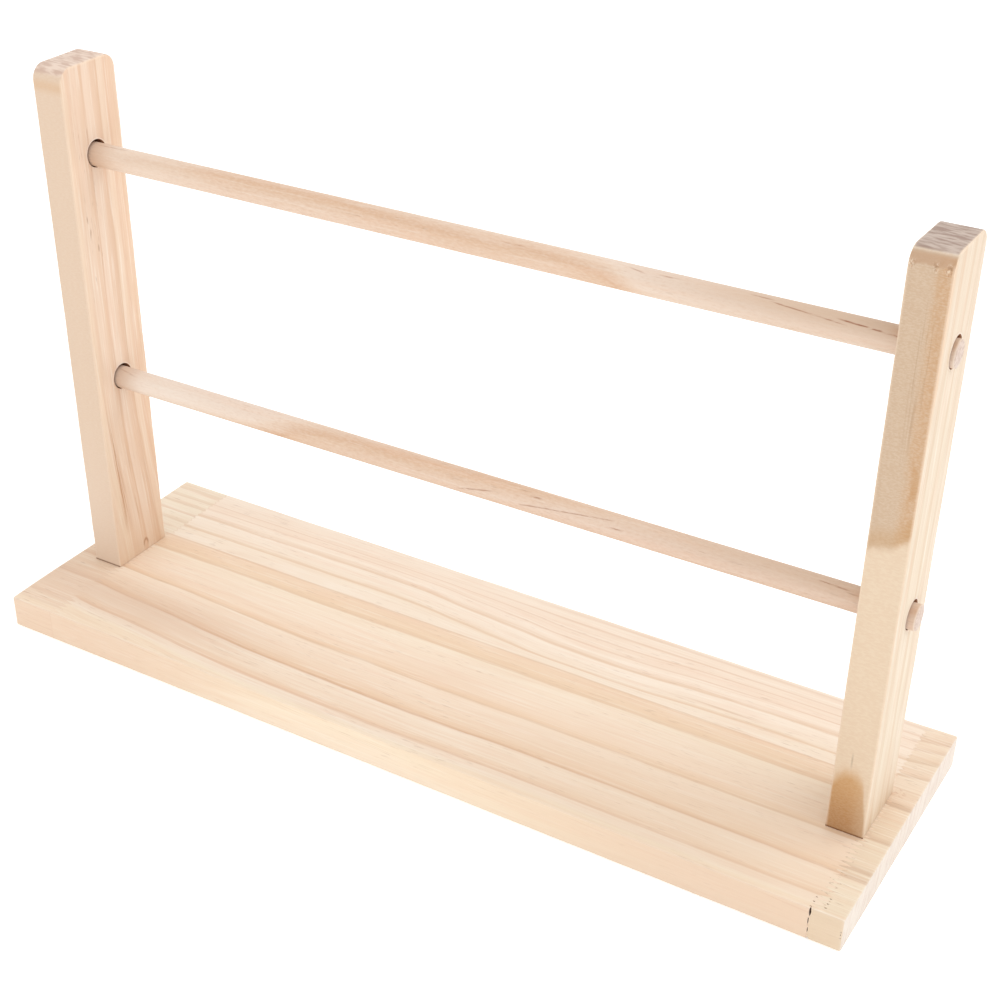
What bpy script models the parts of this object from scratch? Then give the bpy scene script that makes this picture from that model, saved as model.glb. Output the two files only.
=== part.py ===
"""Wooden rack for paint spools and rolls: a base board, two bored uprights and two loose rods.

Metres, +Z up, +X along the board. The origin is the middle of the board's underside.
"""

import math

import bmesh
import bpy
from mathutils import Matrix, Vector

# Base board: one glued-up panel of finger-jointed pine
BASE_LENGTH = 0.400
BASE_DEPTH = 0.125
BASE_THICKNESS = 0.015
EASED_EDGE = 0.0005

# Uprights: two offcuts of one planed batten, set a little forward of the board's middle line
UPRIGHT_THICKNESS = 0.015
UPRIGHT_WIDTH = 0.0325
UPRIGHT_HEIGHT = 0.233
UPRIGHT_INSET = 0.01035
UPRIGHT_Y = -0.0012
TOP_CORNER_RADIUS = 0.0063
RIGHT_TOP_FALL = 0.0005
CORNER_STEPS = 10

# Rods lie loose in oversize holes that go right through both uprights
ROD_DIAMETER = 0.010
ROD_LENGTH = 0.385
ROD_CHAMFER = 0.0005
HOLE_DIAMETER = 0.0115
HOLE_HEIGHTS = {"upper": 0.20965, "lower": 0.10745}
ROD_END_X = {"upper": 0.1912, "lower": 0.1927}
ROUND_STEPS = 48

# Countersunk screws, two up into the foot of each upright
SCREW_LENGTH = 0.038
SCREW_DIAMETER = 0.004
SCREW_TIP = 0.006
HEAD_DIAMETER = 0.008
HEAD_HEIGHT = 0.0022
HEAD_RIM = 0.0003
HEAD_RECESS = 0.0004
SCREW_SPACING = 0.016
DRIVE_WIDTH = 0.0042
DRIVE_SLOT = 0.0009
DRIVE_DEPTH = 0.0016
SCREW_STEPS = 32

# Clear space left between pieces that touch
GAP = 0.0003

UPRIGHT_X = BASE_LENGTH / 2 - UPRIGHT_INSET - UPRIGHT_THICKNESS / 2
UPRIGHT_TOP = BASE_THICKNESS + UPRIGHT_HEIGHT
ROD_DROP = HOLE_DIAMETER / 2 - ROD_DIAMETER / 2 - GAP


def clear_scene():
    for old in list(bpy.data.objects):
        bpy.data.objects.remove(old, do_unlink=True)


def material(name, colour, roughness, metallic=0.0):
    made = bpy.data.materials.new(name)
    made.use_nodes = True
    made.diffuse_color = (*colour, 1.0)
    shader = made.node_tree.nodes["Principled BSDF"]
    shader.inputs["Base Color"].default_value = (*colour, 1.0)
    shader.inputs["Roughness"].default_value = roughness
    shader.inputs["Metallic"].default_value = metallic
    return made


def add_object(name, shape, surface=None, location=(0, 0, 0)):
    """Turn a bmesh into a named object, with its faces pointing out and round stretches smooth."""
    bmesh.ops.recalc_face_normals(shape, faces=shape.faces)
    mesh = bpy.data.meshes.new(name)
    shape.to_mesh(mesh)
    shape.free()
    mesh.shade_smooth()
    mesh.set_sharp_from_angle(angle=math.radians(35))
    made = bpy.data.objects.new(name, mesh)
    made.location = location
    if surface:
        mesh.materials.append(surface)
    bpy.context.scene.collection.objects.link(made)
    return made


def as_cutter(cutter):
    cutter.hide_render = True
    cutter.display_type = "WIRE"
    return cutter


def cut(solid, cutter):
    modifier = solid.modifiers.new(cutter.name, "BOOLEAN")
    modifier.operation = "DIFFERENCE"
    modifier.solver = "EXACT"
    modifier.object = cutter


def ease_edges(solid):
    modifier = solid.modifiers.new("eased edges", "BEVEL")
    modifier.width = EASED_EDGE
    modifier.segments = 2
    modifier.limit_method = "ANGLE"
    modifier.angle_limit = math.radians(50)


def extruded(outline, direction, length):
    """A bmesh prism from a closed outline, pushed half its length each way along direction."""
    shape = bmesh.new()
    push = Vector(direction) * length
    face = shape.faces.new([shape.verts.new(Vector(point) - push / 2) for point in outline])
    swept = bmesh.ops.extrude_face_region(shape, geom=[face])
    moved = [item for item in swept["geom"] if isinstance(item, bmesh.types.BMVert)]
    bmesh.ops.translate(shape, verts=moved, vec=push)
    return shape


def turned(profile, steps, axis):
    """A bmesh spun about an axis from (radius, distance along the axis) points, closed on it."""
    shape = bmesh.new()
    points = [shape.verts.new((radius, 0, along)) for radius, along in profile]
    edges = [shape.edges.new(pair) for pair in zip(points, points[1:])]
    bmesh.ops.spin(
        shape,
        geom=points + edges,
        cent=(0, 0, 0),
        axis=(0, 0, 1),
        angle=2 * math.pi,
        steps=steps,
        use_merge=True,
    )
    bmesh.ops.remove_doubles(shape, verts=shape.verts, dist=0.00001)
    turn = Vector((0, 0, 1)).rotation_difference(Vector(axis)).to_matrix().to_4x4()
    bmesh.ops.transform(shape, matrix=turn, verts=shape.verts)
    return shape


def hole_cutter(name, level):
    """One long drill that goes through both uprights, since they are bored as a pair."""
    half = BASE_LENGTH / 2
    radius = HOLE_DIAMETER / 2
    profile = [(0, -half), (radius, -half), (radius, half), (0, half)]
    shape = turned(profile, ROUND_STEPS, (1, 0, 0))
    return as_cutter(add_object(name, shape, location=(0, UPRIGHT_Y, level)))


def screw_places():
    """Each upright's name with the (x, y) of its screws."""
    for side, x in (("left", -UPRIGHT_X), ("right", UPRIGHT_X)):
        for end, y in (("front", -SCREW_SPACING / 2), ("back", SCREW_SPACING / 2)):
            yield side, end, x, UPRIGHT_Y + y


def screw_profile(clearance=0.0, with_mouth=False):
    """(radius, height) of a countersunk screw standing on its head, grown by a clearance."""
    head = HEAD_DIAMETER / 2 + clearance
    shank = SCREW_DIAMETER / 2 + clearance
    rim = HEAD_RECESS + HEAD_RIM + clearance
    neck = HEAD_RECESS + HEAD_HEIGHT + clearance
    top = HEAD_RECESS + SCREW_LENGTH + clearance
    bottom = -BASE_THICKNESS if with_mouth else HEAD_RECESS
    return [
        (0, bottom),
        (head, bottom),
        (head, rim),
        (shank, neck),
        (shank, top - SCREW_TIP),
        (0, top),
    ]


def make_base(pine, screw_holes):
    shape = bmesh.new()
    bmesh.ops.create_cube(shape, size=1.0)
    size = Matrix.Diagonal((BASE_LENGTH, BASE_DEPTH, BASE_THICKNESS, 1))
    bmesh.ops.transform(shape, matrix=size, verts=shape.verts)
    base = add_object("base_board", shape, pine, (0, 0, BASE_THICKNESS / 2))
    ease_edges(base)
    for cutter in screw_holes:
        cut(base, cutter)
    return base


def upright_outline(top_fall):
    """Round an upright's side: square foot, two round top corners, top falling to the back."""
    half = UPRIGHT_WIDTH / 2
    radius = TOP_CORNER_RADIUS
    foot = BASE_THICKNESS + GAP
    points = [(0, -half, foot), (0, half, foot)]
    corners = ((half - radius, 0, top_fall), (radius - half, math.pi / 2, 0))
    for centre, first_angle, fall in corners:
        for step in range(CORNER_STEPS + 1):
            angle = first_angle + math.pi / 2 * step / CORNER_STEPS
            y = centre + radius * math.cos(angle)
            z = UPRIGHT_TOP - fall - radius + radius * math.sin(angle)
            points.append((0, y, z))
    return points


def make_upright(name, x, top_fall, pine, cutters):
    shape = extruded(upright_outline(top_fall), (1, 0, 0), UPRIGHT_THICKNESS)
    upright = add_object(name, shape, pine, (x, UPRIGHT_Y, 0))
    ease_edges(upright)
    for cutter in cutters:
        cut(upright, cutter)
    return upright


def make_rod(level, pine):
    """A dowel with broken ends, resting near the bottom of its holes."""
    radius = ROD_DIAMETER / 2
    inner = radius - ROD_CHAMFER
    profile = [
        (0, -ROD_LENGTH),
        (inner, -ROD_LENGTH),
        (radius, ROD_CHAMFER - ROD_LENGTH),
        (radius, -ROD_CHAMFER),
        (inner, 0),
        (0, 0),
    ]
    shape = turned(profile, ROUND_STEPS, (1, 0, 0))
    end = (ROD_END_X[level], UPRIGHT_Y, HOLE_HEIGHTS[level] - ROD_DROP)
    return add_object(f"{level}_rod", shape, pine, end)


def make_drive(name, x, y):
    """The cross recess that the screwdriver fits: a plus sign sunk into the head."""
    far, near = DRIVE_WIDTH / 2, DRIVE_SLOT / 2
    arm = [Vector((far, -near, 0)), Vector((far, near, 0)), Vector((near, near, 0))]
    quarters = [Matrix.Rotation(math.radians(90 * turn), 3, "Z") for turn in range(4)]
    outline = [quarter @ corner for quarter in quarters for corner in arm]
    shape = extruded(outline, (0, 0, 1), 2 * DRIVE_DEPTH)
    return as_cutter(add_object(name, shape, location=(x, y, HEAD_RECESS)))


def make_screw(side, end, x, y, steel):
    name = f"{side}_{end}_screw"
    shape = turned(screw_profile(), SCREW_STEPS, (0, 0, 1))
    screw = add_object(name, shape, steel, (x, y, 0))
    cut(screw, make_drive(f"{name}_drive", x, y))
    return screw


def screw_cutter(side, end, x, y):
    """The countersink, clearance hole and pilot hole of one screw, drilled as one."""
    shape = turned(screw_profile(GAP, with_mouth=True), SCREW_STEPS, (0, 0, 1))
    return as_cutter(add_object(f"{side}_{end}_screw_hole", shape, location=(x, y, 0)))


def build():
    clear_scene()
    board_pine = material("board_pine", (0.86, 0.70, 0.55), 0.6)
    batten_pine = material("batten_pine", (0.84, 0.66, 0.50), 0.6)
    dowel_pine = material("dowel_pine", (0.80, 0.60, 0.47), 0.55)
    zinc = material("zinc", (0.72, 0.71, 0.68), 0.35, 1.0)

    holes = {"left": [], "right": []}
    for side, end, x, y in screw_places():
        make_screw(side, end, x, y, zinc)
        holes[side].append(screw_cutter(side, end, x, y))
    make_base(board_pine, holes["left"] + holes["right"])

    drills = [hole_cutter(f"{level}_drill", z) for level, z in HOLE_HEIGHTS.items()]
    make_upright("left_upright", -UPRIGHT_X, 0, batten_pine, drills + holes["left"])
    right_cutters = drills + holes["right"]
    make_upright("right_upright", UPRIGHT_X, RIGHT_TOP_FALL, batten_pine, right_cutters)
    for level in HOLE_HEIGHTS:
        make_rod(level, dowel_pine)


build()
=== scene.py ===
import math

import bmesh
import bpy
from mathutils import Matrix, Vector, noise


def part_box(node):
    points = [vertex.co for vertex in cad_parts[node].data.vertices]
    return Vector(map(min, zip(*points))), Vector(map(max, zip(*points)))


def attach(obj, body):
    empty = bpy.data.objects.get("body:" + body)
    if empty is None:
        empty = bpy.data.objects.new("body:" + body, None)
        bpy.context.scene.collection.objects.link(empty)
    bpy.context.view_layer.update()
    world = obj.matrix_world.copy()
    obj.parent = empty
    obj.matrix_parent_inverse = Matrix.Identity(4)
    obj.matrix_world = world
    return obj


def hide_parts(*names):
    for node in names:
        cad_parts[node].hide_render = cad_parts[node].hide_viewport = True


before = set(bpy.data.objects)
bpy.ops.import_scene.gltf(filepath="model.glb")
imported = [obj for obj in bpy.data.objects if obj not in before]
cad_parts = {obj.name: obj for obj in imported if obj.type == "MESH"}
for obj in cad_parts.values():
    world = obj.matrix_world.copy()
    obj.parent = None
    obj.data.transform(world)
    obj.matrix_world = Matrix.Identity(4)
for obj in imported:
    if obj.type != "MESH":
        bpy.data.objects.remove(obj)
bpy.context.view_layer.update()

# The base board: one flat panel of pale pine, glued up from a wide front strip and a narrow back
# strip, each finger-jointed from a long middle length and two short end blocks. It is planed and
# sanded, its edges are eased by hand, and it is left bare.

board_low, board_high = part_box("base_board")
front_y = board_low.y
top_z = board_high.z
BOARD_EASE = 0.0006
BOARD_STEP = 0.005
LEFT_JOINT_X = -0.1775
JOINT_X = 0.187
STRIP_SEAM = 0.081
FINGER_LENGTH = 0.0048
FINGER_PITCH = 0.0027
PIT_SIDES = 7
SHARP_ANGLE = math.radians(38)


def rounding(point, ease):
    """How far an edge is rubbed back at this place: sandpaper in the hand never cuts evenly."""
    return ease * (1.0 + 0.55 * noise.noise(point * 45.0) + 0.25 * noise.noise(point * 190.0))


def stations(low, high, ease, step):
    """Places along one side of a blank: close together over each eased edge, even between."""
    near = [ease * share for share in (0.0, 0.22, 0.5, 0.8, 1.25)]
    count = max(1, round((high - low - 2.5 * ease) / step))
    start, end = low + near[-1], high - near[-1]
    middle = [start + (end - start) * i / count for i in range(1, count)]
    return [low + n for n in near] + middle + [high - n for n in reversed(near)]


def sanded_blank(low, high, ease, step):
    """A plank as a closed skin of quads, its edges rubbed round by a wandering amount."""
    shape = bmesh.new()
    rows = [stations(low[a], high[a], ease, step) for a in range(3)]
    last = [len(row) - 1 for row in rows]
    corners = {}

    def corner(*place):
        if place not in corners:
            point = Vector([rows[a][place[a]] for a in range(3)])
            radius = rounding(point, ease)
            core = [min(max(point[a], low[a] + radius), high[a] - radius) for a in range(3)]
            out = point - Vector(core)
            corners[place] = shape.verts.new(Vector(core) + out.normalized() * radius)
        return corners[place]

    for fixed in range(3):
        first, second = (fixed + 1) % 3, (fixed + 2) % 3
        for side in (0, last[fixed]):
            for i in range(last[first]):
                for j in range(last[second]):
                    square = []
                    for di, dj in ((0, 0), (1, 0), (1, 1), (0, 1)):
                        place = [0, 0, 0]
                        place[fixed], place[first], place[second] = side, i + di, j + dj
                        square.append(corner(*place))
                    shape.faces.new(square)
    bmesh.ops.recalc_face_normals(shape, faces=shape.faces)
    return shape


def skin(shape, rings, cap_end=True):
    """Close rings of points into one skin, capped at both ends unless the last is open."""
    count = len(rings[0])
    for ring, following in zip(rings, rings[1:]):
        for i in range(count):
            j = (i + 1) % count
            shape.faces.new((ring[i], ring[j], following[j], following[i]))
    shape.faces.new(rings[0])
    if cap_end:
        shape.faces.new(rings[-1])
    bmesh.ops.recalc_face_normals(shape, faces=shape.faces)
    return shape


def turned(profile, around, steps, ragged=0.0):
    """A closed turned shape on the X or Z axis, from (along, radius) pairs, its ends capped."""
    shape = bmesh.new()
    rings = []
    for row, (along, radius) in enumerate(profile):
        ring = []
        for step in range(steps):
            angle = math.tau * step / steps
            spot = Vector((math.cos(angle), math.sin(angle), along * 40.0 + row))
            reach = radius + ragged * noise.noise(spot * 2.3)
            side, up = reach * math.cos(angle), reach * math.sin(angle)
            place = (along, side, up) if around == "X" else (side, up, along)
            ring.append(shape.verts.new(place))
        rings.append(ring)
    return skin(shape, rings)


def pits(places):
    """Small torn marks to cut from a face: (place, way in, width across and along, depth)."""
    shape = bmesh.new()
    for place, inward, width, depth in places:
        place, inward = Vector(place), Vector(inward)
        level = Vector((0, 0, 1)) if abs(inward.z) < 0.9 else Vector((1, 0, 0))
        side = inward.cross(level)
        mouth, bottom = [], []
        for step in range(PIT_SIDES):
            angle = math.tau * step / PIT_SIDES
            reach = 1 + 0.35 * noise.noise(place * 900 + Vector((angle, 0, 0)))
            spread = side * math.cos(angle) * width[0] + level * math.sin(angle) * width[1]
            mouth.append(shape.verts.new(place - inward * depth + spread * reach * 0.75))
            bottom.append(shape.verts.new(place + inward * depth + spread * reach * 0.2))
        skin(shape, [mouth, bottom])
    return shape


def as_object(name, shape, sharp=SHARP_ANGLE):
    """Turn a shape into a named object, smooth but for its sharp edges."""
    mesh = bpy.data.meshes.new(name)
    shape.to_mesh(mesh)
    shape.free()
    mesh.shade_smooth()
    mesh.set_sharp_from_angle(angle=sharp)
    made = bpy.data.objects.new(name, mesh)
    bpy.context.scene.collection.objects.link(made)
    return made


def carve(piece, *cutters):
    """Cut shapes out of a piece for good, then throw the cutters away."""
    for cutter in cutters:
        tool = as_object("cutter", cutter)
        cut = piece.modifiers.new("cut", "BOOLEAN")
        cut.operation = "DIFFERENCE"
        cut.solver = "EXACT"
        cut.object = tool
        whole = piece.evaluated_get(bpy.context.evaluated_depsgraph_get())
        piece.data = bpy.data.meshes.new_from_object(whole)
        piece.modifiers.clear()
        bpy.data.objects.remove(tool)
    piece.data.shade_smooth()
    piece.data.set_sharp_from_angle(angle=SHARP_ANGLE)


def moved(shape, place):
    """The same shape, carried to its place."""
    bmesh.ops.translate(shape, verts=shape.verts, vec=place)
    return shape


SCREWS = ["left_front_screw", "left_back_screw", "right_front_screw", "right_back_screw"]
HEAD_RADIUS = 0.0040
HEAD_RIM = 0.0003
HEAD_HEIGHT = 0.0022
SHANK_RADIUS = 0.0020
SCREW_POINT = 0.006
SCREW_CLEARANCE = 0.0003


def screw_spot(node):
    """A screw's middle, and the heights of its head and its tip."""
    low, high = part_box(node)
    return (low + high) / 2, low.z, high.z


def screw_hole(node):
    """Drilled from below: the countersink, then one straight hole on into the end grain."""
    middle, head, tip = screw_spot(node)
    profile = [
        (-0.002, HEAD_RADIUS + 0.0008),
        (0.0, HEAD_RADIUS + 0.0006),
        (head + HEAD_RIM, HEAD_RADIUS + SCREW_CLEARANCE),
        (head + HEAD_HEIGHT, SHANK_RADIUS + SCREW_CLEARANCE),
        (tip - SCREW_POINT, SHANK_RADIUS + SCREW_CLEARANCE),
        (tip + 0.0006, 0.0004),
    ]
    return moved(turned(profile, "Z", 40, 0.00006), (middle.x, middle.y, 0))


# Meshes are in metres and finishes in millimetres. Colour codes say how a face looks in the
# studio's bright light, so the finish itself is a share darker.
MM = 1000.0
UNLIT = 0.87


def linear(code):
    """A colour code as the shader's own red, green and blue."""
    parts = [int(code[i : i + 2], 16) / 255 for i in (0, 2, 4)]
    lit = [c / 12.92 if c <= 0.04045 else ((c + 0.055) / 1.055) ** 2.4 for c in parts]
    return (*[UNLIT * c for c in lit], 1.0)


def feed(socket, value):
    """Give a socket a number, a colour code or the outcome of other nodes."""
    if isinstance(value, Number):
        value.tree.links.new(value.socket, socket)
    elif isinstance(value, str):
        socket.default_value = linear(value)
    else:
        socket.default_value = value


class Number:
    """A value or a colour in a finish. Sums written on it become the finish's own nodes."""

    def __init__(self, tree, socket):
        self.tree, self.socket = tree, socket

    def calc(self, operation, *others):
        made = self.tree.nodes.new("ShaderNodeMath")
        made.operation = operation
        for socket, value in zip(made.inputs, (self, *others)):
            feed(socket, value)
        return Number(self.tree, made.outputs[0])

    def __add__(self, other):
        return self.calc("ADD", other)

    def __sub__(self, other):
        return self.calc("SUBTRACT", other)

    def __mul__(self, other):
        return self.calc("MULTIPLY", other)

    def fade(self, start, end):
        """0 at start and before, 1 at end and past it, smooth between; start may be larger."""
        made = self.tree.nodes.new("ShaderNodeMapRange")
        made.interpolation_type = "SMOOTHSTEP"
        feed(made.inputs["Value"], self)
        feed(made.inputs["From Min"], start)
        feed(made.inputs["From Max"], end)
        return Number(self.tree, made.outputs["Result"])

    def near(self, centre, reach):
        """1 at the centre, falling to 0 at reach on both sides."""
        return (self - centre).size().fade(reach, 0.0)

    def bend(self, *points):
        """A smooth line through (place, height) points."""
        lows = [min(p[a] for p in points) for a in (0, 1)]
        spans = [max(p[a] for p in points) - lows[a] for a in (0, 1)]
        made = self.tree.nodes.new("ShaderNodeFloatCurve")
        spots = [((p[0] - lows[0]) / spans[0], (p[1] - lows[1]) / spans[1]) for p in points]
        curve = made.mapping.curves[0]
        curve.points[0].location, curve.points[1].location = spots[0], spots[-1]
        for spot in spots[1:-1]:
            curve.points.new(*spot)
        made.mapping.update()
        feed(made.inputs["Value"], (self - lows[0]) * (1 / spans[0]))
        return Number(self.tree, made.outputs[0]) * spans[1] + lows[1]

    def over(self, under, colour):
        """Lay a colour over another, as thick as this number says."""
        made = self.tree.nodes.new("ShaderNodeMix")
        made.data_type = "RGBA"
        # The node's two colour inputs come after those for numbers and for vectors.
        feed(made.inputs[0], self)
        feed(made.inputs[6], under)
        feed(made.inputs[7], colour)
        return Number(self.tree, made.outputs[2])

    def size(self):
        """The number without its sign."""
        return self.calc("ABSOLUTE")


def ramp(value, stops):
    """A colour from (place, colour) stops."""
    low, high = stops[0][0], stops[-1][0]
    made = value.tree.nodes.new("ShaderNodeValToRGB")
    feed(made.inputs[0], (value - low) * (1 / (high - low)))
    elements = made.color_ramp.elements
    elements[1].position = 1.0
    for place, _ in stops[1:-1]:
        elements.new((place - low) / (high - low))
    for element, (_, code) in zip(elements, stops):
        element.color = linear(code)
    return Number(value.tree, made.outputs[0])


def cloud(x, y, z, seed, detail=2.0):
    """Soft random patches about one unit across, as a number around a half."""
    tree = x.tree
    spot = tree.nodes.new("ShaderNodeCombineXYZ")
    for socket, value in zip(spot.inputs, (x + seed * 17.3, y - seed * 9.1, z + seed * 5.7)):
        feed(socket, value)
    made = tree.nodes.new("ShaderNodeTexNoise")
    made.inputs["Scale"].default_value = 1.0
    made.inputs["Detail"].default_value = detail
    tree.links.new(spot.outputs[0], made.inputs["Vector"])
    return Number(tree, made.outputs[0])


def start_finish(name):
    """A new material, with each point's place in millimetres and the way its face looks."""
    finish = bpy.data.materials.new(name)
    finish.use_nodes = True
    tree = finish.node_tree
    origin = tree.nodes.new("ShaderNodeTexCoord")
    numbers = []
    for output, unit in (("Object", MM), ("Normal", 1.0)):
        split = tree.nodes.new("ShaderNodeSeparateXYZ")
        tree.links.new(origin.outputs[output], split.inputs[0])
        numbers += [Number(tree, split.outputs[a]) * unit for a in range(3)]
    return finish, numbers


def end_finish(finish, colour, roughness, relief, depth, specular=0.25):
    """Wire colour, roughness and relief into the shader. The relief is up to depth deep."""
    tree = finish.node_tree
    shader = tree.nodes["Principled BSDF"]
    feed(shader.inputs["Base Color"], colour)
    feed(shader.inputs["Roughness"], roughness)
    shader.inputs["Specular IOR Level"].default_value = specular
    bump = tree.nodes.new("ShaderNodeBump")
    bump.inputs["Strength"].default_value = 1.0
    bump.inputs["Distance"].default_value = depth / MM
    feed(bump.inputs["Height"], relief)
    tree.links.new(bump.outputs[0], shader.inputs["Normal"])


RESIN = "ac8468"
FIBRE = "dcb28e"
PALE = "fff6ea"
BLUSH = "efc6aa"
SHADED = "dcbba2"


def pine(along, across, depth, ring, growth, seed, ticks, fibres=1.0):
    """Bare pine: growth lines, fibres along them and short resin ticks. Colour and relief."""
    slow = cloud(along * 0.018, across * 0.05, depth * 0.05, seed) - 0.5
    quick = cloud(along * 0.09, across * 0.4, depth * 0.4, seed + 1) - 0.5
    colour = ramp(ring + slow * 1.3 + quick * 0.6, growth)
    blush = cloud(along * 0.025, across * 0.3, depth * 0.3, seed + 5, 3.0)
    colour = (blush.fade(0.48, 0.72) * 0.18).over(colour, BLUSH)
    fibre = cloud(along * 0.035, across * 1.2, depth * 1.2, seed + 2, 4.0)
    colour = (fibre.fade(0.5, 0.7) * 0.2 * fibres).over(colour, FIBRE)
    colour = (fibre.fade(0.49, 0.3) * 0.36 * fibres).over(colour, PALE)
    tick = cloud(along * 0.16, across * 1.5, depth * 1.5, seed + 3, 1.0).fade(0.62, 0.76)
    where = cloud(along * 0.02, across * 0.12, depth * 0.12, seed + 4, 0.0).fade(0.42, 0.6)
    colour = (tick * where * ticks).over(colour, RESIN)
    return colour, fibre - tick * 0.5


# Growth lines: what colour the wood is at each distance from the board's front edge
BOARD_LINES = [
    (0, "f4dec4"), (0.8, "f6e4cb"), (3, "f5e2cd"), (6.3, "f5e0cb"), (7.0, "e3c0a2"),
    (8.5, "efd2b6"), (12, "f4ddc5"), (19, "f7e3cd"), (21.3, "f8e4cf"), (22.0, "ddb696"),
    (23.4, "eeceaf"), (27, "f4dac0"), (36, "f7e1ca"), (41.6, "f9e4ce"), (42.3, "e6c6a6"),
    (43.6, "f2d4b6"), (47, "f7dec5"), (56, "f8e2cb"), (68.8, "f9e7d0"), (69.4, "eaccad"),
    (72.5, "f3d7b9"), (79.8, "f4d9be"), (80.7, "e9cbad"), (81.3, "f8e7d3"), (87.2, "f7e5d0"),
    (88, "e9ccae"), (90, "f6e3ce"), (98.4, "faead8"), (99.1, "eaceb3"), (103, "f9e7d4"),
    (111, "f5dfca"), (125, "f8e8d6"),
]
LEFT_BLOCK = [
    (0, "f4ddc3"), (3.3, "f4ddc3"), (4.5, "edd4bb"), (10.2, "f0d8c0"), (10.9, "e6c7ad"),
    (14, "efd6be"), (29.6, "eed5bd"), (30.4, "e2c2a8"), (34, "ecd2b9"), (46.4, "efd6bd"),
    (47.1, "e5c5a9"), (51, "f1d8bf"),
    (80.7, "eed8be"), (81.3, "f4e3cc"), (91.4, "f5e5cf"), (92.1, "e9d2b8"), (95, "f3e2cb"),
    (98.5, "f5e5cf"), (99.1, "ead2b9"), (102, "f3e2cb"), (105.5, "f5e5cf"), (106.1, "e8d0b6"),
    (109, "f3e2cb"), (111.5, "f5e4ce"), (112.2, "e9d1b7"), (115, "f3e2cb"), (117.6, "f5e4ce"),
    (118.2, "ebd3ba"), (125, "f3e3cb"),
]
RIGHT_BLOCK = [
    (0, "ebd8be"), (21.4, "efddc4"), (22.1, "d9bca1"), (26.3, "ecd8be"), (27.0, "d7ba9f"),
    (31, "ead5ba"), (45.8, "eddac1"), (46.6, "d7b99d"), (50, "e9d3b8"), (68.4, "f1dcc3"),
    (69.1, "d7b99d"), (73, "eed5bb"), (80.7, "eed6bc"), (81.3, "f3dec6"), (88, "f2ddc5"),
    (88.7, "e2c6ab"), (91, "efd8bf"), (98.2, "f2ddc5"), (98.9, "e2c6aa"), (102, "eed6bc"),
    (106.4, "f3dec6"), (107.1, "e6cab0"), (110, "f0d8bf"), (113, "f3dec6"), (113.8, "e5c8ae"),
    (118, "f0d9c0"), (125, "f3dec6"),
]


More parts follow.
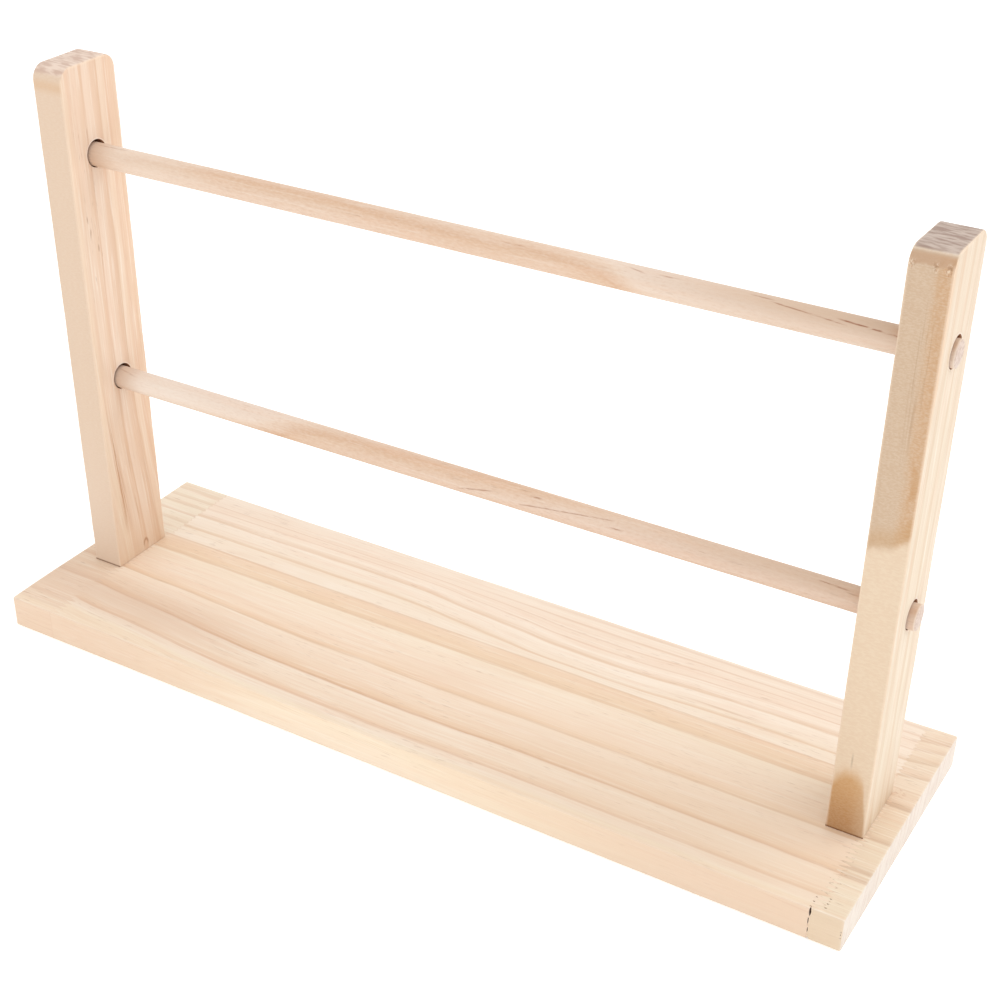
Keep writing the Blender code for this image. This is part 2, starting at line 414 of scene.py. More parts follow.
def board_finish():
    """Three woods joined by fingers, a seam along them, pale end grain, rubbed edges with a painted
    highlight, and painted shade in the open joint and torn marks.
    """
    finish, (x, y, z, nx, ny, _) = start_finish("board_pine")
    half_length = board_high.x * MM
    half_depth = board_high.y * MM
    thickness = board_high.z * MM
    half_thick = thickness / 2
    left_joint = LEFT_JOINT_X * MM
    right_joint = JOINT_X * MM
    seam = STRIP_SEAM * MM

    # The long pieces: growth lines that bow forward at the left and dip at the back
    across = y + half_depth
    raw = across + (z * -1 + thickness) * 0.22
    front = x.bend(
        (-200, 8.6), (-178, 8.2), (-160, 6.6), (-140, 5.6), (-120, 3.9), (-98, 2.0),
        (-62, 0.5), (0, 0.0), (62, 1.2), (130, 1.3), (200, 1.2),
    )
    back = x.bend(
        (-200, 2.0), (-160, 2.6), (-100, 3.4), (-62, 3.9), (-20, 1.4), (10, -1.0),
        (50, -3.3), (100, -1.0), (155, 0.2), (200, 0.0),
    )
    ring = raw - front * raw.fade(68, 28) - back * raw.fade(82, 86.5) * raw.fade(121, 106)
    colour, relief = pine(x, ring, z, ring, BOARD_LINES, 3, 0.25, 0.7)
    tanner = x.fade(-10, 110) * raw.fade(82, 78) * (raw.fade(64, 24) * 0.2 + 0.12)
    colour = tanner.over(colour, "e6cdb2")
    close_lines = ring.near(107, 0.7) + ring.near(112.5, 0.6)
    close_lines = close_lines + ring.near(117, 0.9) * x.fade(-60, 20)
    close_lines = close_lines + ring.near(122.5, 1.6) * x.fade(-40, 60)
    colour = (close_lines * 0.4).over(colour, "dcb595")
    colour = (x.fade(-50, -140) * raw.near(25, 21) * 0.5).over(colour, SHADED)
    colour = (raw.near(91.5, 1.0) * x.near(112, 24) * 0.6).over(colour, "d9b596")

    # The end blocks, let in with fingers, and the glue between them
    left_wood, _ = pine(x, raw, z, raw, LEFT_BLOCK, 8, 0.3)
    left_wood = (raw.near(25, 21) * 0.35).over(left_wood, SHADED)
    slanting = raw - (x - right_joint) * 0.2 * raw.fade(78, 92)
    right_wood, _ = pine(x, raw, z, slanting, RIGHT_BLOCK, 12, 0.4)
    depth_of_cut = (across.fade(84, 76) * 0.75 + 0.25) * (2 * FINGER_LENGTH * MM)
    fingers = (across * (1 / (FINGER_PITCH * MM))).calc("PINGPONG", 0.5) * depth_of_cut
    left = x - fingers - across.fade(seam - 0.3, seam + 0.3) * 3.0
    colour = left.fade(left_joint + 0.2, left_joint - 0.2).over(colour, left_wood)
    right = x - fingers
    colour = right.fade(right_joint - 0.2, right_joint + 0.2).over(colour, right_wood)
    broken = cloud(x * 0.7, across * 0.45, z * 0.9, 16, 4.0).fade(0.5, 0.64)
    glue = right.near(right_joint, 0.9) * broken * (across.fade(75, 8) * 0.4 + 0.15)
    colour = glue.over(colour, "94694c")
    fine_joints = left.near(left_joint, 0.5) * 0.3 + raw.near(seam, 0.5) * 0.3
    colour = fine_joints.over(colour, "dcb799")

    # The front and back edges: streakier, yellower in the middle, redder to the ends and darker
    # there as painted shade
    facing = ny.size().fade(0.5, 0.85)
    streaks = cloud(x * 0.03 + z * 0.25, z * 1.3 + x * 0.06, y * 0.02, 17, 3.0).fade(0.56, 0.74)
    lower = z.fade(4, 14) * 0.5 + x.fade(-60, -175) * 0.5
    colour = (facing * streaks * lower * 0.8).over(colour, "d4a888")
    colour = (facing * 0.2).over(colour, "f6dfbf")
    # Painted shade: the edges darken as well as redden towards both ends
    colour = (facing * x.size().fade(30, 150) * 0.45).over(colour, "e0c0a9")
    colour = (facing * x.fade(right_joint - 0.1, right_joint + 0.2) * 0.5).over(colour, "e0cbad")

    # A bruise behind the right foot, the end grain, rubbed edges paled partly as a painted
    # highlight, and the grime of handling
    bruise = x.near(192, 4) * y.near(16, 5) * cloud(x * 0.5, y * 0.9, z, 19).fade(0.5, 0.6)
    colour = (bruise * z.fade(14, 15) * 0.5).over(colour, "c58f6c")
    end_grain = nx.size().fade(0.5, 0.85)
    rows = cloud(x * 0.05, ring * 0.9, z * 0.12, 15).fade(0.45, 0.65)
    colour = (end_grain * 0.8).over(colour, rows.over("e9e0d7", "decfc4"))
    near_x = x.size().fade(half_length - 1.3, half_length - 0.2)
    near_y = y.size().fade(half_depth - 1.1, half_depth - 0.2)
    near_z = (z - half_thick).size().fade(half_thick - 0.9, half_thick - 0.1)
    wear_and_highlight = near_x * near_y + near_y * near_z + near_z * near_x
    # Painted highlight: the eased edges are paled over their real wear
    colour = (wear_and_highlight * 0.12).over(colour, PALE)
    grime = cloud(x * 0.011, y * 0.02, z * 0.05, 18).fade(0.55, 0.8)
    colour = (grime * 0.12).over(colour, "dcbb9f")

    # Whatever is under the surface gets the brown of the open joint and torn marks, darkened with
    # depth as painted shade
    depth = (x.size() * -1 + half_length).calc("MINIMUM", y.size() * -1 + half_depth)
    depth = depth.calc("MINIMUM", (z - half_thick).size() * -1 + half_thick)
    colour = (depth.fade(0.2, 0.5) * 0.9).over(colour, "6b3d22")
    end_finish(finish, colour, relief * 0.25 + wear_and_highlight * -0.08 + 0.52, relief, 0.06)
    return finish


board = as_object("pine_board", sanded_blank(board_low, board_high, BOARD_EASE, BOARD_STEP))

# The glue line has opened where the right-hand joint comes out of the front edge
joint_gap = pits([
    ((JOINT_X, front_y, top_z - 0.0016), (0, 1, 0), (0.0010, 0.0046), 0.0022),
    ((JOINT_X - 0.0003, front_y, top_z - 0.0062), (0, 1, 0), (0.0005, 0.0034), 0.0015),
    ((JOINT_X - 0.0001, front_y, board_low.z + 0.0045), (0, 1, 0), (0.0004, 0.0030), 0.0012),
    ((JOINT_X + 0.0002, front_y, board_low.z), (0, 1, 0), (0.0012, 0.0022), 0.0011),
])

# Two rows of torn fibres across the finger tips, and three ticks in the edge near the corner
tip_rows = ((0.1867, (0.0067, 0.0041, 0.0012)), (0.1915, (0.0082, 0.0053, 0.0029)))
tip_marks = pits([
    ((x, front_y + y, top_z), (0, 0, -1), (0.0006, 0.0011), 0.0010)
    for x, row in tip_rows for y in row
])
torn_ticks = pits([
    ((0.1992, front_y, top_z - drop), (0, 1, 0), (0.0004, 0.0008), 0.0008)
    for drop in (0.0057, 0.0071, 0.0086)
])
cutters = [screw_hole(node) for node in SCREWS]
carve(board, *cutters, joint_gap, tip_marks, torn_ticks)
board.data.materials.clear()
board.data.materials.append(board_finish())
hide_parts("base_board")
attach(board, "stand")

# The uprights: two lengths of planed pine batten, their top corners rounded on the sander. Each
# is bored right through for the rods and stands on its sawn foot, held by two screws from below.

BATTEN_EASE = 0.0007
SAWN_FOOT = 0.004
FOOT_GAP = 0.00005
TOP_RADIUS = 0.0063
RIGHT_TOP_FALL = 0.0005
HOLE_RADIUS = 0.00575
ROD_GAP = 0.0003
BORE = HOLE_RADIUS * MM
FOOT_STEPS = 8
SIDE_STEPS = 48
TOP_STEPS = 6
CORNER_STEPS = 16


def batten_outline(low, high, fall):
    """Round a batten's side: (Y, Z) points, each with the way its edge is rubbed in."""
    radius = TOP_RADIUS
    points = []

    def run(start, end, count, way):
        for step in range(count):
            points.append((start.lerp(end, step / count), way))

    def corner(centre, first_angle):
        for step in range(CORNER_STEPS):
            angle = first_angle + math.pi / 2 * step / CORNER_STEPS
            way = Vector((math.cos(angle), math.sin(angle)))
            points.append((centre + way * radius, way))

    back = high.y - radius
    front = low.y + radius
    back_level = high.z - fall - radius
    front_level = high.z - radius
    run(Vector((low.y, low.z)), Vector((high.y, low.z)), FOOT_STEPS, Vector((0, -1)))
    run(Vector((high.y, low.z)), Vector((high.y, back_level)), SIDE_STEPS, Vector((1, 0)))
    corner(Vector((back, back_level)), 0)
    run(Vector((back, high.z - fall)), Vector((front, high.z)), TOP_STEPS, Vector((0, 1)))
    corner(Vector((front, front_level)), math.pi / 2)
    run(Vector((low.y, front_level)), Vector((low.y, low.z)), SIDE_STEPS, Vector((-1, 0)))
    return points


def sanded_batten(low, high, fall):
    """A batten as rings of points stepping across its thickness, over each eased arris."""
    shape = bmesh.new()
    half = (high.x - low.x) / 2
    middle_x = (low.x + high.x) / 2
    outline = batten_outline(low, high, fall)
    turns = (0.0, 0.35, 0.7, 1.0)
    levels = [(-1, turn) for turn in reversed(turns)] + [(1, turn) for turn in turns]
    rings = []
    for hand, turn in levels:
        angle = math.pi / 2 * turn
        ring = []
        for point, way in outline:
            ease = rounding(Vector((middle_x + hand * half, *point)), BATTEN_EASE)
            height = point.y
            if height < low.z + SAWN_FOOT:
                ease *= 0.3
            rub = point - way * ease * (1 - math.cos(angle))
            x = middle_x + hand * (half - ease + ease * math.sin(angle))
            ring.append(shape.verts.new((x, rub.x, max(rub.y, low.z))))
        rings.append(ring)
    return skin(shape, rings)


def hole_centre(node):
    """Where a rod's hole is: the rod lies just clear of the bottom of it."""
    low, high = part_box(node)
    return Vector((0, (low.y + high.y) / 2, low.z - ROD_GAP + HOLE_RADIUS))


def rod_hole(node, low, high):
    """The hole for a rod: clean inside, its rims rubbed and a little torn."""
    rim = ((-0.002, 0.0006), (-0.0001, 0.00016), (0.0002, 0.00005), (0.0006, 0.0))
    profile = [(low.x + inside, HOLE_RADIUS + wide) for inside, wide in rim]
    profile += [(high.x - inside, HOLE_RADIUS + wide) for inside, wide in reversed(rim)]
    return moved(turned(profile, "X", 72, 0.00010), hole_centre(node))


# What colour the wood is at each distance from a batten's front edge
LEFT_BANDS = [
    (-8, "eaceb5"), (-4, "efd7c0"), (0, "f0dac2"), (2, "efd6bd"), (4.5, "eacdb4"),
    (6, "ecd2bb"), (8.5, "eed5bf"), (11, "e9cbb1"), (12.9, "e3c1a6"), (13.5, "efd7c2"),
    (16.5, "eed5bf"), (18.5, "e9cbb2"), (21.8, "e2c0a4"), (22.5, "ecd1b8"), (23.2, "f0d8c1"),
    (25.5, "eed3ba"), (27.2, "e7c4a8"), (28.4, "eccdb2"), (31, "ebcbaf"), (33, "eed3bb"),
    (40, "eacaaf"),
]
RIGHT_BANDS = [
    (0, "e7d5bc"), (6, "e8d7c0"), (8.4, "e4cfb6"), (10.9, "e1cbaf"), (12.6, "e9d9c3"),
    (19, "e7d5bd"), (21.4, "e1caae"), (23.2, "e9d9c3"), (26, "e6d4bc"), (28.6, "e1ccb2"),
    (30.8, "e9d7c1"), (37, "e5d2ba"),
]


def left_wood(across, inward, down, z, seed):
    """The left batten's wood: its lines lean forward low down, past a resin streak and a knot;
    painted shade darkens top and foot.
    """
    drift = down.bend((0, 0), (60, 0), (120, 0), (150, -0.8), (180, -3.0), (210, -6.0), (233, -8))
    ring = inward + drift + across * 0.05
    ticks = (inward.near(6, 3.5) + inward.near(11.5, 2.5)) * down.near(65, 75) * 0.6 + 0.12
    colour, relief = pine(z, ring, across, ring, LEFT_BANDS, seed, ticks)
    centre = (down - 170) * (4 / 45) + 5.0
    wide = down.fade(125, 215) * 2.6 + 0.5
    streak = (inward - centre).near(0, wide) * down.fade(125, 190) * down.fade(220, 211)
    threads = cloud(z * 0.05, ring * 2.2, across * 0.5, 66, 3.0).fade(0.36, 0.6)
    colour = (streak * threads * 0.85).over(colour, "b9845f")
    second = (inward - centre).near(7.5, 1.2) * down.fade(165, 195) * down.fade(222, 212)
    colour = (second * threads * 0.5).over(colour, "b98a68")
    aside = (inward - 19) * 0.75
    above = (down - 229.5) * 0.42
    knot = (aside * aside + above * above).calc("SQRT")
    arch = knot.near(1.0, 0.6) * down.fade(231.5, 228.5)
    colour = (arch * 0.85).over(colour, "a26d4c")
    # Painted shade: darker towards the foot, and towards the top
    colour = (down.fade(130, 190) * 0.14).over(colour, "e0b894")
    return (down.fade(90, 10) * 0.2).over(colour, "dcb99e"), relief


def left_front(face, across, down):
    """The left batten's front: even beige, an ochre band under the shoulder, and a foot paled as
    painted light.
    """
    face = (down.near(7.5, 4.0) * 0.45).over(face, "d6ad83")
    # Painted light: the foot is paled to lift the shade that falls there
    return (down.fade(140, 215) * 0.3).over(face, "f2ddca")


def right_wood(across, inward, down, z, seed):
    """The right batten's wood: plain lines that lean back, warmer along the front arris, painted
    shade at the top.
    """
    drift = down.bend((0, 0), (40, 1.2), (80, 2.3), (110, 3.0), (170, 3.3), (233, 3.5))
    ring = inward + drift + across * 0.05
    colour, relief = pine(z, ring, across, ring, RIGHT_BANDS, seed, 0.15)
    colour = (inward.fade(3.5, 0.5) * down.fade(75, 40) * 0.5).over(colour, "eec39b")
    # Painted shade: the face darkens towards the top
    return (down.fade(120, 10) * 0.16).over(colour, "dabfaa"), relief


def right_front(face, across, down):
    """The right batten's front: darker above a wandering line, and a knot's shadow at the foot."""
    x = across
    wander = (cloud(x * 0.5, down * 0.35, x * 0.1, 61, 3.0) - 0.5) * 2.6
    edge = x.bend((0, 112), (1.5, 108.4), (5, 107.5), (8, 107), (11, 105), (15, 101.5))
    above = (down - edge + wander).fade(2.4, -2.4)
    dark = (x + wander).fade(7.5, 12.5).over("ccb094", "cba37d")
    silver = cloud(x * 0.9, down * 2.2, x * 0.1, 63, 3.0).fade(0.36, 0.66)
    dark = (silver * 0.34).over(dark, "e2cfb8")
    lines = cloud(x * 2.0, down * 0.03, x * 0.1, 62).fade(0.5, 0.7) * x.near(9.5, 5) * 0.45
    dark = (lines * down.near(45, 50)).over(dark, "a47c57")
    patches = cloud(x * 0.25, down * 0.08, x * 0.1, 64).fade(0.5, 0.7) * x.fade(9, 12) * 0.5
    dark = patches.over(dark, "c1905c")
    dark = ((down - edge).near(-3.0, 8.0) * 0.4).over(dark, "c1945f")
    face = (above * 0.95).over(face, dark)

    # A knot's shadow over the foot, with one dark mark in it
    arch = x.bend((0, 211), (2, 206), (5, 203.5), (9, 203.5), (11.5, 206), (13, 214), (15, 229))
    shadow = (down - arch + wander * 0.9).fade(-3.0, 6.0)
    uneven = cloud(x * 0.9, down * 1.8, x * 0.1, 68, 4.0).fade(0.62, 0.36) * 0.14 + 0.9
    stained = down.fade(203, 233).over("cfa16e", "b98a5c")
    face = (shadow * uneven * (x.fade(16, 7) * 0.35 + 0.6)).over(face, stained)
    mark = x.near(6.5, 0.6) * down.near(199, 5) * 0.4
    face = mark.over(face, "8f7a68")

    # The shoulder, where the sander has torn the grain
    face = ((down + wander * 0.7).fade(5.2, 4.2) * 0.75).over(face, "c29e80")
    face = (down.near(1.0, 0.9) * 0.6).over(face, "94745e")
    torn = cloud(x * 1.3, down * 0.9, x * 0.2, 65, 3.0)
    where = (down + wander).near(4.8, 2.2) * (x.near(1, 2.2) + x.near(9, 1.6) + x.near(13.6, 1.8))
    face = (torn.fade(0.5, 0.6) * where * 0.8).over(face, "f3e0c8")
    return (torn.fade(0.47, 0.4) * where * 0.6).over(face, "9c7657")


# What sets the two battens apart. The torn marks are (from the left, down, half width) in mm.
BATTENS = {
    "left": {
        "fall": 0.0, "wood": left_wood, "front": left_front, "seed": 21,
        "planed": "e3cbb4", "end": "ecd6c5", "end_dark": "d3b6a4", "end_from": (0.42, 0.7),
        "torn": (),
    },
    "right": {
        "fall": RIGHT_TOP_FALL, "wood": right_wood, "front": right_front, "seed": 27,
        "planed": "e8d2b7", "end": "cab8ab", "end_dark": "a58d80", "end_from": (0.82, 0.93),
        "torn": (
            (0.9, 5.0, 0.5), (1.5, 5.8, 0.4), (8.6, 4.6, 0.6), (9.4, 5.4, 0.5),
            (12.4, 5.4, 0.5), (13.2, 6.4, 0.5), (13.9, 5.9, 0.5),
        ),
    },
}


def batten_finish(side, low, high):
    """A batten's wood on its wide faces, its planed front and back, its end grain and its holes."""
    batten = BATTENS[side]
    seed = batten["seed"]
    finish, (x, y, z, nx, ny, nz) = start_finish(f"{side}_batten_pine")
    across = x - low.x * MM
    inward = y - low.y * MM
    down = z * -1 + high.z * MM
    foot = (high.z - low.z) * MM
    half_thick = (high.x - low.x) / 2 * MM
    half_wide = (high.y - low.y) / 2 * MM
    colour, relief = batten["wood"](across, inward, down, z, seed)
    # Painted shade: the wide faces darken towards the foot, where they stand on the board
    colour = (down.fade(205, 232) * 0.25).over(colour, "e2bf9d")

    # The planed front and back
    mottle = cloud(across * 0.6, inward * 0.6, z * 1.8, seed + 9, 4.0)
    planed = (mottle.fade(0.38, 0.66) * 0.32 + 0.68).over("dcbc9e", batten["planed"])
    facing = ny.size().fade(0.45, 0.75)
    colour = facing.over(colour, planed)
    foremost = ny.fade(-0.45, -0.75)
    colour = foremost.over(colour, batten["front"](planed, across, down))

    # End grain on the top, and the rubbed arrises
    stripes = cloud(across * 0.14, inward * 0.55 + across * 0.05, z * 0.4, seed + 3, 6.0)
    end_wood = stripes.fade(0.36, 0.62).over(batten["end_dark"], batten["end"])
    end_grain = nz.size().fade(*batten["end_from"]) * down.fade(12, 9)
    # End grain on the top, and the rubbed arrises, paled partly as a painted highlight
    colour = end_grain.over(colour, end_wood)
    near_x = (across - half_thick).size().fade(half_thick - 1.0, half_thick - 0.2)
    near_y = (inward - half_wide).size().fade(half_wide - 1.05, half_wide - 0.15)
    wear_and_highlight = near_x * near_y.calc("MAXIMUM", down.fade(1.2, 0.3))
    colour = (wear_and_highlight * 0.45).over(colour, "f6dec5")

    # Each bore is painted shade inside, dark brown, and paler round its upper rim as a painted
    # highlight over the rubbed edge
    for node in ("upper_rod", "lower_rod"):
        centre = hole_centre(node) * MM
        aside = y - centre.y
        above = z - centre.z
        away = (aside * aside + above * above).calc("SQRT")
        inside = away.fade(BORE + 0.25, BORE + 0.12) * nx.size().fade(0.9, 0.5)
        colour = (inside * 0.8).over(colour, "a8704c")
        rim = away.near(BORE + 0.4, 0.4) * nx.size().fade(0.7, 0.9)
        colour = (rim * above.fade(-2, 3) * 0.5).over(colour, "fbeee2")

    # A thin painted contact shadow where the foot meets the board, darkest under the front
    contact_shadow = down.fade(foot - 1.05, foot - 0.15) * (foremost * 0.8 + 0.02)
    colour = contact_shadow.over(colour, "744626")
    relief = relief + facing * (mottle * 0.8)
    end_finish(finish, colour, relief * 0.2 + wear_and_highlight * -0.1 + 0.5, relief, 0.05)
    return finish


for side, batten in BATTENS.items():
    low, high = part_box(f"{side}_upright")
    low.z = top_z + FOOT_GAP
    upright = as_object(f"{side}_batten", sanded_batten(low, high, batten["fall"]))
    holes = [rod_hole(node, low, high) for node in ("upper_rod", "lower_rod")]
    holes += [screw_hole(node) for node in SCREWS if node.startswith(side)]
    torn_marks = [
        ((low.x + across / MM, low.y, high.z - down / MM), (0, 1, 0), (wide / MM, 0.0016), 0.0003)
        for across, down, wide in batten["torn"]
    ]
    if torn_marks:
        holes.append(pits(torn_marks))
    carve(upright, *holes)
    upright.data.materials.clear()
    upright.data.materials.append(batten_finish(side, low, high))
    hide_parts(f"{side}_upright")
    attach(upright, "stand")

# The rods: ten-millimetre pine dowels, cut to length and their ends broken with sandpaper. They
# lie loose in their holes, so that they pull out endways to take what is threaded on them.

ROD_BREAK = 0.0006
SHAFT_STEPS = 60
SHAFT_WANDER = 0.00004


def dowel(low, high):
    """A rod with broken ends, its thickness wandering a little as the cutter left it."""
    radius = (high.z - low.z) / 2
    broken = ((0.0, 1.0), (0.35, 0.3), (1.0, 0.0))
    start = [(low.x + ROD_BREAK * a, radius - ROD_BREAK * b) for a, b in broken]
    end = [(high.x - ROD_BREAK * a, radius - ROD_BREAK * b) for a, b in reversed(broken)]
    shaft = []
    for step in range(1, SHAFT_STEPS):
        along = start[-1][0] + (end[0][0] - start[-1][0]) * step / SHAFT_STEPS
        thin = SHAFT_WANDER * (noise.noise(Vector((along * 60, 0, low.z))) - 0.8)
        shaft.append((along, radius + min(0.0, thin)))
    shape = turned(start + shaft + end, "X", 64)
    return moved(shape, (0, (low.y + high.y) / 2, (low.z + high.z) / 2))


ROD_BANDS = [
    (-12, "ebd7c7"), (-4, "ecd7c5"), (-2.8, "ead2bd"), (2.2, "dbb698"), (3.5, "dfbda0"),
    (6, "e3c5ac"), (9, "e6ccb7"), (14, "e5cab6"),
]


def upper_pattern(x):
    """Where the one growth line wanders on the upper rod: it dives in and out of the face."""
    return x.bend(
        (-192, -6), (-176, -3.6), (-157, 0.8), (-138, 3.0), (-100, 4.0), (-60, 4.1), (-30, 3.0),
        (4, 2.0), (36, 2.4), (52, 1.4), (62, 0), (72, -4), (90, -9), (192, -12),
    )


def lower_pattern(x):
    """The lower rod's growth line: it climbs slowly from the left end to the right."""
    return x.bend(
        (-192, -9), (-110, -7), (-88, -3), (-72, 1.5), (-58, 3), (-30, 3.8), (0, 4.6),
        (24, 6), (60, 9), (120, 12), (192, 12),
    )


def dowel_finish(level, pattern, seed, grey, streaks):
    """Fine speckled wood on one growth line, greyer to the right, with short resin streaks."""
    finish, (x, y, z, nx, _, _) = start_finish(f"{level}_dowel_pine")
    low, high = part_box(f"{level}_rod")
    up = z - (low.z + high.z) / 2 * MM
    back = y - (low.y + high.y) / 2 * MM
    face = up * 0.8 + back * 0.6
    depth = up * 0.6 - back * 0.8
    ring = pattern(x) - face
    colour, relief = pine(x, face, depth, ring, ROD_BANDS, seed, 0.3, 0.45)
    speckle = cloud(x * 0.5, face * 1.6, depth * 1.6, seed + 8, 4.0)
    colour = (speckle.fade(0.42, 0.7) * 0.22).over(colour, "f3e2d2")
    colour = (speckle.fade(0.5, 0.3) * 0.2).over(colour, "d2ab8e")
    # The wood greys towards the right; the grey is held off low on the front, which stays paler as
    # painted light from the floor
    colour = (x.fade(40, 150) * face.fade(-9, 3) * grey).over(colour, "d0b297")
    for start, end, height, rise, wide, strength in streaks:
        line = face - (x - start) * (rise / (end - start)) - height
        run = x.fade(start - 1, start + 4) * x.fade(end + 1, end - 4)
        rough = cloud(x * 0.3, face * 2.5, depth * 0.3, seed + 6).fade(0.3, 0.55)
        mark = line.near(0, wide * 0.8) * run * rough * depth.fade(-0.5, 1.5) * strength
        colour = mark.over(colour, "9c6446")
    colour = (x.fade(-95, -150) * 0.35).over(colour, "f3e6d8")
    # Painted shade: darker and browner where the rod goes into the left upright
    colour = (x.fade(-158, -174) * 0.5).over(colour, "c79f7f")
    colour = (x.fade(166, 173) * face.near(1.5, 3) * 0.4).over(colour, "c18e68")
    end_grain = nx.size().fade(0.6, 0.9)
    rays = cloud(up * 0.9, back * 0.9, x * 0.1, seed + 7).fade(0.35, 0.65)
    colour = (end_grain * 0.85).over(colour, rays.over("cbb4a6", "e2cfc3"))
    # Painted highlight on the broken ends, paled over their real wear
    wear_and_highlight = x.size().fade(high.x * MM - 1.0, high.x * MM - 0.3) * 0.4
    colour = (wear_and_highlight * (end_grain * -1 + 1)).over(colour, PALE)
    end_finish(finish, colour, relief * 0.25 + 0.42, relief, 0.04)
    return finish


# Each rod's growth line, seed, greyness and resin streaks. A streak is (start, end, height at
# the start, rise to the end, width, strength), and heights go up the rod's front.
RODS = {
    "upper": (upper_pattern, 31, 0.8, (
        (-173, -156, 3.0, 0.4, 0.6, 0.6), (22, 32, 1.2, 0.2, 0.5, 0.4),
        (72, 80, 2.8, -1.2, 0.5, 0.5), (84, 93, 2.2, 0.3, 0.5, 0.5),
        (118, 128, 3.0, -0.3, 0.5, 0.6), (126, 154, 2.0, -2.2, 0.5, 0.7),
        (150, 178, 1.4, -1.8, 0.6, 1.0),
    )),
    "lower": (lower_pattern, 37, 0.5, (
        (-176, -164, 3.2, -2.0, 0.7, 0.6), (3, 20, -4.0, 2.8, 0.5, 0.7),
        (32, 73, -3.0, 4.4, 0.5, 0.6), (36, 42, 1.2, 0.3, 0.9, 0.8),
        (30, 36, 2.6, 0.3, 0.5, 0.5), (71, 78, -1.5, 0.2, 0.6, 0.7),
        (120, 128, -0.6, 0.2, 0.5, 0.5), (154, 168, 2.4, -0.6, 0.6, 0.6),
        (166, 172, 1.0, -0.3, 0.5, 0.5),
    )),
}
for level, (pattern, seed, grey, streaks) in RODS.items():
    low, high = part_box(f"{level}_rod")
    rod = as_object(f"{level}_dowel", dowel(low, high))
    rod.data.materials.append(dowel_finish(level, pattern, seed, grey, streaks))
    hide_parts(f"{level}_rod")
    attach(rod, f"{level}_rod")

# The screws: bright zinc-plated countersunk wood screws with a cross recess, driven up through
# the board into the uprights' end grain, their heads sunk just inside the underside.

NECK_RADIUS = 0.0019
NECK_LENGTH = 0.010
CORE_RADIUS = 0.00135
THREAD_START = 0.0105
THREAD_PITCH = 0.0018
THREAD_HEIGHT = 0.00058
THREAD_RUN_IN = 0.002
ROWS_PER_TURN = 8
SCREW_STEPS = 32
SCREW_SHARP = math.radians(30)


def wood_screw(head, tip):
    """Head, plain neck, then a thread that runs out at the point, standing on the Z axis."""
    shape = bmesh.new()
    rows = [
        (head, HEAD_RADIUS - 0.0003, 0),
        (head + 0.0001, HEAD_RADIUS - 0.00005, 0),
        (head + HEAD_RIM, HEAD_RADIUS, 0),
        (head + HEAD_HEIGHT, NECK_RADIUS, 0),
        (head + NECK_LENGTH, NECK_RADIUS, 0),
    ]
    start = head + THREAD_START
    count = int((tip - 0.0002 - start) / THREAD_PITCH * ROWS_PER_TURN)
    for row in range(count):
        along = start + THREAD_PITCH * row / ROWS_PER_TURN
        left = (tip - along) / SCREW_POINT
        core = CORE_RADIUS * min(1.0, max(0.05, left))
        thread = min(1.0, (along - start) / THREAD_RUN_IN) * min(1.0, max(0.0, left * 1.6))
        rows.append((along, core, thread))
    rings = []
    for along, radius, thread in rows:
        ring = []
        for step in range(SCREW_STEPS):
            share = step / SCREW_STEPS
            phase = (along / THREAD_PITCH - share) % 1.0
            crest = max(0.0, 1 - abs(phase - 0.5) / 0.22)
            reach = radius + THREAD_HEIGHT * crest * thread
            angle = math.tau * share
            ring.append(shape.verts.new((reach * math.cos(angle), reach * math.sin(angle), along)))
        rings.append(ring)
    point = shape.verts.new((0, 0, tip))
    for i in range(SCREW_STEPS):
        shape.faces.new((rings[-1][i], rings[-1][(i + 1) % SCREW_STEPS], point))
    return skin(shape, rings, cap_end=False)


def cross_recess(head):
    """The driver's cross: four tapering wings, deepest in the middle."""
    shape = bmesh.new()
    rims = []
    for depth, wing, width in ((-0.0004, 0.0023, 0.00050), (0.0019, 0.0011, 0.00034)):
        ring = []
        for quarter in range(4):
            turn = Matrix.Rotation(math.radians(90 * quarter), 3, "Z")
            for corner in ((wing, -width), (wing, width), (width * 1.5, width * 1.5)):
                ring.append(shape.verts.new(turn @ Vector((*corner, head + depth))))
        rims.append(ring)
    return skin(shape, rims)


def zinc_finish():
    """Bright plating, a little cloudy, over fine turning marks."""
    finish, (x, y, z, *_) = start_finish("bright_zinc")
    cloudy = cloud(x * 0.9, y * 0.9, z * 0.9, 51)
    colour = cloudy.fade(0.35, 0.7).over("b9b7b0", "d8d6cf")
    turning = cloud(x * 6.0, y * 6.0, z * 18.0, 52)
    finish.node_tree.nodes["Principled BSDF"].inputs["Metallic"].default_value = 1.0
    end_finish(finish, colour, cloudy * 0.3 + 0.18, turning, 0.01, 0.5)
    return finish


zinc = zinc_finish()
for node in SCREWS:
    middle, head, tip = screw_spot(node)
    screw = as_object(node.replace("screw", "wood_screw"), wood_screw(head, tip), SCREW_SHARP)
    screw.data.materials.append(zinc)
    carve(screw, cross_recess(head))
    screw.data.transform(Matrix.Translation((middle.x, middle.y, 0)))
    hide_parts(node)
    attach(screw, "stand")

# The studio: a white painted floor under an even white sky, with a broad soft lamp high on the
# right, as a window would light it, and a weaker one low in front on the left to fill the shade.

FLOOR_SIZE = 6.0
FLOOR_GAP = 0.0002

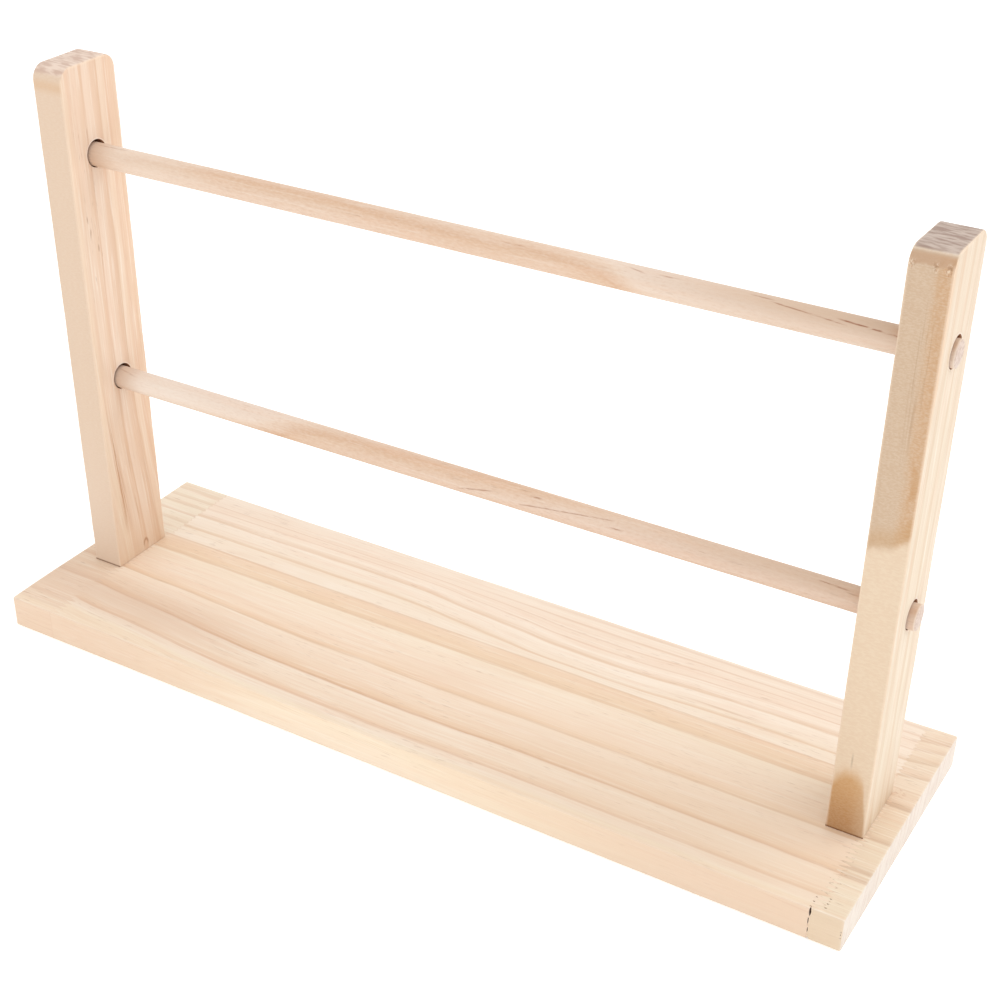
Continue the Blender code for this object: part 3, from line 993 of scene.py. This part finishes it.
scene = bpy.context.scene
scene.view_settings.view_transform = "Standard"

floor_shape = bmesh.new()
bmesh.ops.create_grid(floor_shape, x_segments=1, y_segments=1, size=FLOOR_SIZE)
floor = as_object("floor", floor_shape)
floor.location.z = board_low.z - FLOOR_GAP
floor_paint = bpy.data.materials.new("floor_paint")
floor_paint.use_nodes = True
paint = floor_paint.node_tree.nodes["Principled BSDF"]
paint.inputs["Base Color"].default_value = (0.93, 0.93, 0.93, 1)
paint.inputs["Roughness"].default_value = 0.9
paint.inputs["Emission Color"].default_value = (1, 1, 1, 1)
paint.inputs["Emission Strength"].default_value = 0.3
floor.data.materials.append(floor_paint)

sky = bpy.data.worlds.new("studio")
sky.use_nodes = True
sky.node_tree.nodes["Background"].inputs["Color"].default_value = (1, 1, 1, 1)
sky.node_tree.nodes["Background"].inputs["Strength"].default_value = 1.0
scene.world = sky


def soft_light(name, place, target, size, power):
    """A square white lamp at its place, turned to face the target."""
    lamp = bpy.data.lights.new(name, "AREA")
    lamp.shape = "SQUARE"
    lamp.size = size
    lamp.energy = power
    made = bpy.data.objects.new(name, lamp)
    made.location = place
    aim = Vector(target) - Vector(place)
    made.rotation_euler = aim.to_track_quat("-Z", "Y").to_euler()
    scene.collection.objects.link(made)


MIDDLE = (0, 0, 0.1)
soft_light("window", (1.0, 0.4, 1.5), MIDDLE, 1.4, 9)
soft_light("fill", (-0.5, -1.6, 0.9), MIDDLE, 1.4, 3)

eye = bpy.data.cameras.new("eye")
eye.sensor_width = 36
eye.lens = 63.05
eye.shift_x = 0.04205
eye.shift_y = 0.07524
camera = bpy.data.objects.new("eye", eye)
# Turned round the rack, tipped to look down on it, and levelled
EYE_TURNS = ((31.723, "Z"), (90 - 32.691, "X"), (-0.096, "Z"))
aim = Matrix.Identity(4)
for degrees, axis in EYE_TURNS:
    aim = aim @ Matrix.Rotation(math.radians(degrees), 4, axis)
camera.matrix_world = Matrix.Translation((0.3234, -0.5229, 0.4543)) @ aim
scene.collection.objects.link(camera)
scene.camera = camera
